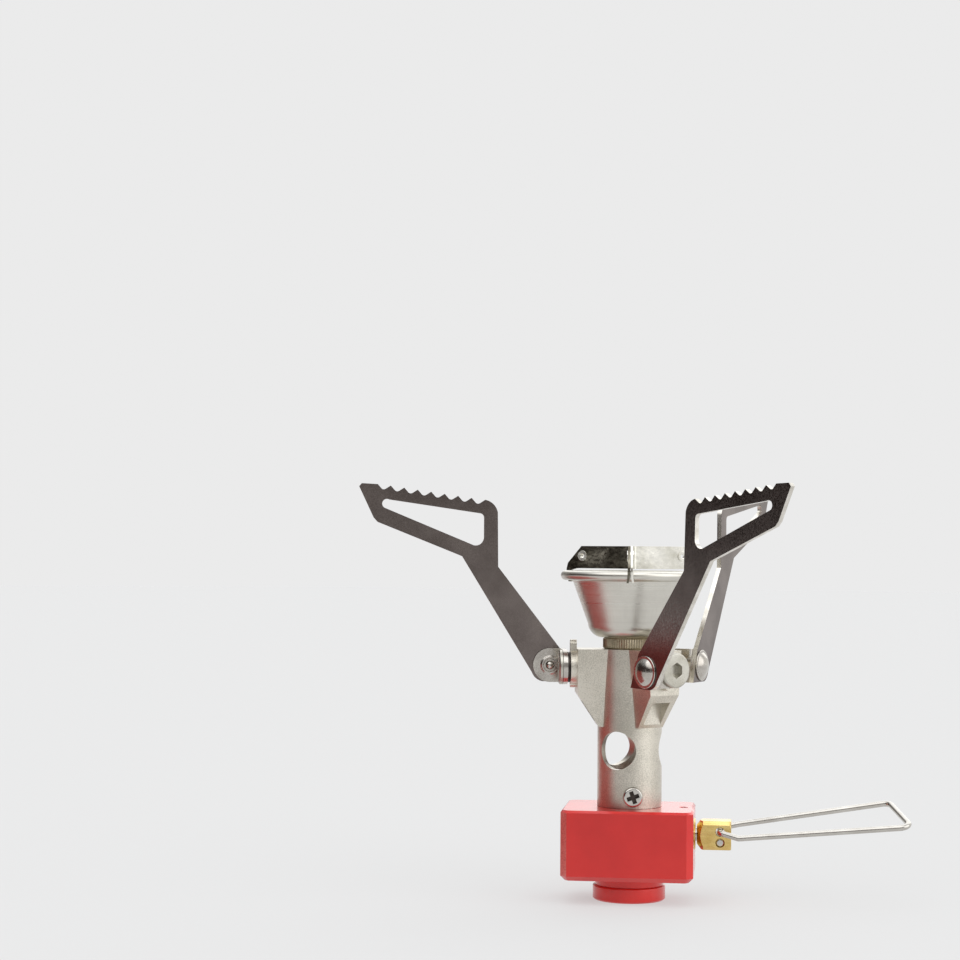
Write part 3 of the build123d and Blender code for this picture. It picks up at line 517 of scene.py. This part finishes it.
def make_thread():
    """A helical ridge inside the canister port, fading in and out at its ends."""
    turns = THREAD_LENGTH / THREAD_PITCH
    steps = int(turns * THREAD_STEPS)
    foot_r = THREAD_WALL_R + THREAD_OVERLAP
    verts = []
    for step in range(steps + 1):
        along = step / steps
        turn = 2 * math.pi * turns * along
        rise = min(1, along / FADE_SHARE, (1 - along) / FADE_SHARE)
        fade = rise * (1 - FADE_REST) + FADE_REST
        height = THREAD_START + THREAD_LENGTH * along
        crest_r = THREAD_WALL_R - (THREAD_WALL_R - THREAD_CREST_R) * fade
        half = FOOT_HALF_WIDTH * fade
        crest = half * CREST_SHARE
        section = [(foot_r, -half), (crest_r, -crest), (crest_r, crest), (foot_r, half)]
        for radius, offset in section:
            x, y = radius * math.cos(turn), radius * math.sin(turn)
            verts.append((x * MM, y * MM, (height + offset) * MM))
    last = 4 * steps
    faces = [(0, 1, 2, 3), (last + 3, last + 2, last + 1, last)]
    for step in range(steps):
        for i in range(4):
            j = (i + 1) % 4
            faces.append((4 * step + i, 4 * step + 4 + i, 4 * step + 4 + j, 4 * step + j))
    add_piece("port_thread", verts, faces, "red_anodised", bodies_of_nodes["valve_block"])


# ---------------------------------------------------------------- floor and light
BACKGROUND = 0.83
FLOOR_GLOW = 0.49
FLOOR_COLOUR = 0.26
FLOOR_R = 4.0
FLOOR_SIDES = 96
FLOOR_ROUGHNESS = 0.9


def make_floor():
    """A plain pale round floor that meets a surround of the same tone."""
    turns = [2 * math.pi * side / FLOOR_SIDES for side in range(FLOOR_SIDES)]
    verts = [(FLOOR_R * math.cos(turn), FLOOR_R * math.sin(turn), 0) for turn in turns]
    mesh = bpy.data.meshes.new("floor")
    mesh.from_pydata(verts, [], [tuple(range(FLOOR_SIDES))])
    floor = bpy.data.objects.new("floor", mesh)
    bpy.context.scene.collection.objects.link(floor)
    material = bpy.data.materials.new("floor")
    material.use_nodes = True
    shader = material.node_tree.nodes["Principled BSDF"]
    shader.inputs["Base Color"].default_value = (FLOOR_COLOUR, FLOOR_COLOUR, FLOOR_COLOUR, 1)
    shader.inputs["Roughness"].default_value = FLOOR_ROUGHNESS
    shader.inputs["Specular IOR Level"].default_value = 0.0
    shader.inputs["Emission Color"].default_value = (1, 1, 1, 1)
    shader.inputs["Emission Strength"].default_value = FLOOR_GLOW
    mesh.materials.append(material)


def add_light(name, place, strength, width):
    """A soft distant light that shines from a place towards the origin, width degrees across."""
    data = bpy.data.lights.new(name, "SUN")
    data.energy = strength
    data.angle = math.radians(width)
    light = bpy.data.objects.new(name, data)
    bpy.context.scene.collection.objects.link(light)
    light.location = place
    light.rotation_mode = "QUATERNION"
    light.rotation_quaternion = (-Vector(place)).to_track_quat("-Z", "Y")


def add_card(name, low, high, colour):
    """A matt block beside the stove, unseen by the camera, that only the metal reflects."""
    (left, front, bottom), (right, back, top) = low, high
    corners = [(x, y, z) for z in (bottom, top) for y in (front, back) for x in (left, right)]
    sides = [(0, 1, 3, 2), (4, 6, 7, 5), (0, 4, 5, 1), (2, 3, 7, 6), (0, 2, 6, 4), (1, 5, 7, 3)]
    mesh = bpy.data.meshes.new(name)
    mesh.from_pydata(corners, [], sides)
    material = bpy.data.materials.new(name)
    material.use_nodes = True
    shader = material.node_tree.nodes["Principled BSDF"]
    shader.inputs["Base Color"].default_value = (*colour, 1)
    shader.inputs["Roughness"].default_value = CARD_ROUGHNESS
    mesh.materials.append(material)
    card = bpy.data.objects.new(name, mesh)
    bpy.context.scene.collection.objects.link(card)
    card.visible_camera = False
    card.visible_shadow = False
    card.visible_diffuse = False


DARK_SIDE = (-0.93, -0.37, 0.0)
SIDE_TONES = [  # from the pale side round to the dark one
    (0.0, (0.95, 0.95, 0.93)), (0.35, (0.80, 0.80, 0.79)), (0.5, (0.42, 0.41, 0.40)),
    (0.66, (0.30, 0.29, 0.28)), (0.78, (0.06, 0.045, 0.04)), (1.0, (0.03, 0.02, 0.018)),
]
MIX_A, MIX_B, MIX_RESULT = 6, 7, 2  # a colour mix's own sockets
TOP_TONE = (0.72, 0.74, 0.76)
TOP_STARTS, TOP_ENDS = 0.4, 0.85  # heights of the view direction where the top tone fades in


def make_surround():
    """A studio with a pale right side, back and top and a dark left side, against an even pale tone."""
    world = bpy.data.worlds.new("studio")
    world.use_nodes = True
    tree = world.node_tree
    room = tree.nodes["Background"]
    direction = node(tree, "ShaderNodeTexCoord").outputs["Generated"]
    towards_dark = node(tree, "ShaderNodeVectorMath", operation="DOT_PRODUCT")
    towards_dark.inputs[1].default_value = DARK_SIDE
    tree.links.new(direction, towards_dark.inputs[0])
    around = spread(tree, towards_dark.outputs["Value"], 0.0, 1.0, -1.0, 1.0)
    sides = ramp(tree, around, SIDE_TONES)
    parts = node(tree, "ShaderNodeSeparateXYZ")
    tree.links.new(direction, parts.inputs[0])
    lift = spread(tree, parts.outputs["Z"], 0.0, 1.0, TOP_STARTS, TOP_ENDS)
    mixed = node(tree, "ShaderNodeMix", data_type="RGBA")
    tree.links.new(lift, mixed.inputs["Factor"])
    tree.links.new(sides, mixed.inputs[MIX_A])
    mixed.inputs[MIX_B].default_value = (*TOP_TONE, 1)
    tree.links.new(mixed.outputs[MIX_RESULT], room.inputs["Color"])
    tone = node(tree, "ShaderNodeBackground")
    tone.inputs["Color"].default_value = (BACKGROUND, BACKGROUND, BACKGROUND, 1)
    seen = node(tree, "ShaderNodeLightPath").outputs["Is Camera Ray"]
    either = node(tree, "ShaderNodeMixShader")
    tree.links.new(seen, either.inputs["Fac"])
    tree.links.new(room.outputs[0], either.inputs[1])
    tree.links.new(tone.outputs[0], either.inputs[2])
    tree.links.new(either.outputs[0], tree.nodes["World Output"].inputs["Surface"])
    bpy.context.scene.world = world


LIGHTS = {  # where from, strength, degrees across
    "key": ((-0.5, -1.2, 2.1), 1.3, 72),
    "fill": ((1.9, -0.8, 1.0), 0.8, 60),
    "rim": ((0.3, 1.8, 1.6), 1.0, 72),
}
CARD_LOW, CARD_HIGH = (-0.150, -0.030, 0.001), (-0.050, 0.040, 0.052)
CARD_COLOUR = (0.42, 0.08, 0.07)
CARD_ROUGHNESS = 0.6


def make_light():
    """Soft studio light from above, behind and the right, with a warm card low on the left."""
    make_surround()
    for name, (place, strength, width) in LIGHTS.items():
        add_light(name, place, strength, width)
    add_card("warm_card", CARD_LOW, CARD_HIGH, CARD_COLOUR)
    bpy.context.scene.view_settings.view_transform = "Standard"


# ---------------------------------------------------------------- the scene
for part, width in EDGE_WIDTHS.items():
    dressed(part, width)
dress_block()
dress_tube_screw()
for number in (1, 2, 3):
    dress_leaf(number)
for side in ("front", "left", "back"):
    dress_support(side)
make_neck()
make_thread()
make_camera()
make_floor()
make_light()
